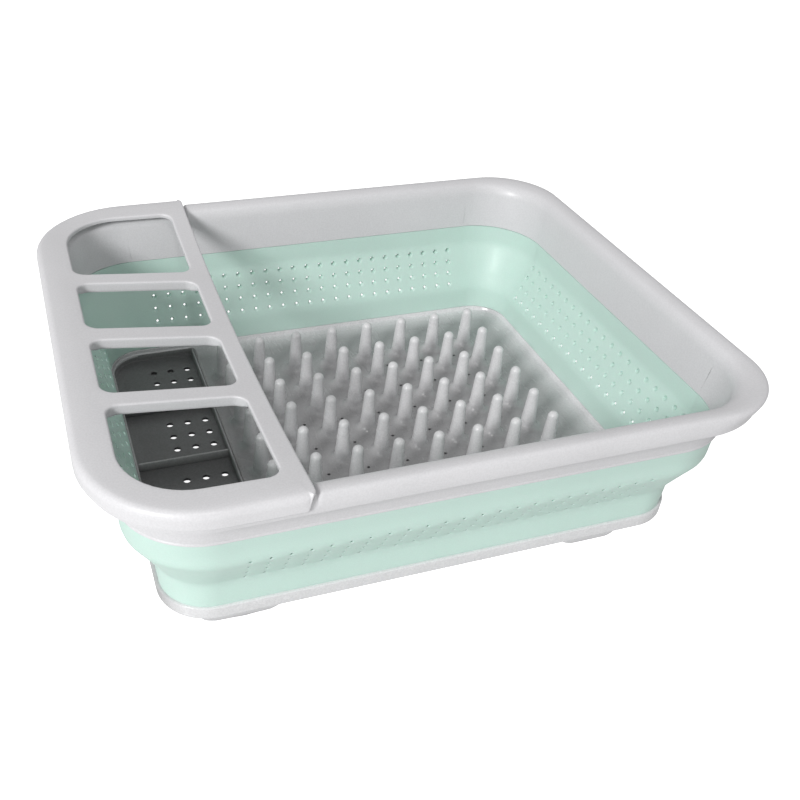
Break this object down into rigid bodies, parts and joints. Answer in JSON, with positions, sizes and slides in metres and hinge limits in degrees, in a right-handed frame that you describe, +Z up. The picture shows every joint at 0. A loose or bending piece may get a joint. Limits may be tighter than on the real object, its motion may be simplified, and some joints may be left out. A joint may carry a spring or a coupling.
{
  "type": "collapsible dish drying rack",
  "caption": "Collapsible dish drying rack: pegged base with drain holes, folding rubber wall, rigid rim and a lift-off cutlery frame.",
  "frame": {"origin": "middle of the footprint, on the surface the rack stands on", "axes": "+X along the long side, away from the cutlery frame; +Y from front to back; +Z up"},
  "size_m": [0.365, 0.315, 0.1059],
  "materials": {
    "rigid_grey": "satin moulded polypropylene, cool light grey, fine grain",
    "mint_rubber": "soft satin thermoplastic rubber, mint green",
    "grey_rubber": "matte light grey thermoplastic rubber"
  },
  "bodies": {
    "base": {"base_tray": "rigid_grey", "peg_row_1": "rigid_grey", "peg_row_2": "rigid_grey", "peg_row_3": "rigid_grey", "peg_row_4": "rigid_grey", "peg_row_5": "rigid_grey", "peg_row_6": "rigid_grey", "peg_row_7": "rigid_grey", "cutlery_rib_back": "rigid_grey", "cutlery_rib_front": "rigid_grey", "cutlery_rib_long": "rigid_grey", "cutlery_rib_middle": "rigid_grey", "wall_lower_band": "mint_rubber", "wall_fold_band": "mint_rubber", "foot_back_left": "grey_rubber", "foot_back_right": "grey_rubber", "foot_front_left": "grey_rubber", "foot_front_right": "grey_rubber"},
    "rim": {"rim_frame": "rigid_grey", "wall_upper_band": "mint_rubber"},
    "cutlery_holder": {"cutlery_frame": "rigid_grey"}
  },
  "joints": [
    {"name": "collapse", "type": "slide", "parent": "base", "child": "rim", "axis": [0, 0, -1], "range_m": [0, 0.05], "deforming": ["wall_fold_band"]},
    {"name": "cutlery_frame_lift", "type": "slide", "parent": "rim", "child": "cutlery_holder", "axis": [0, 0, 1], "range_m": [0, 0.045]}
  ]
}
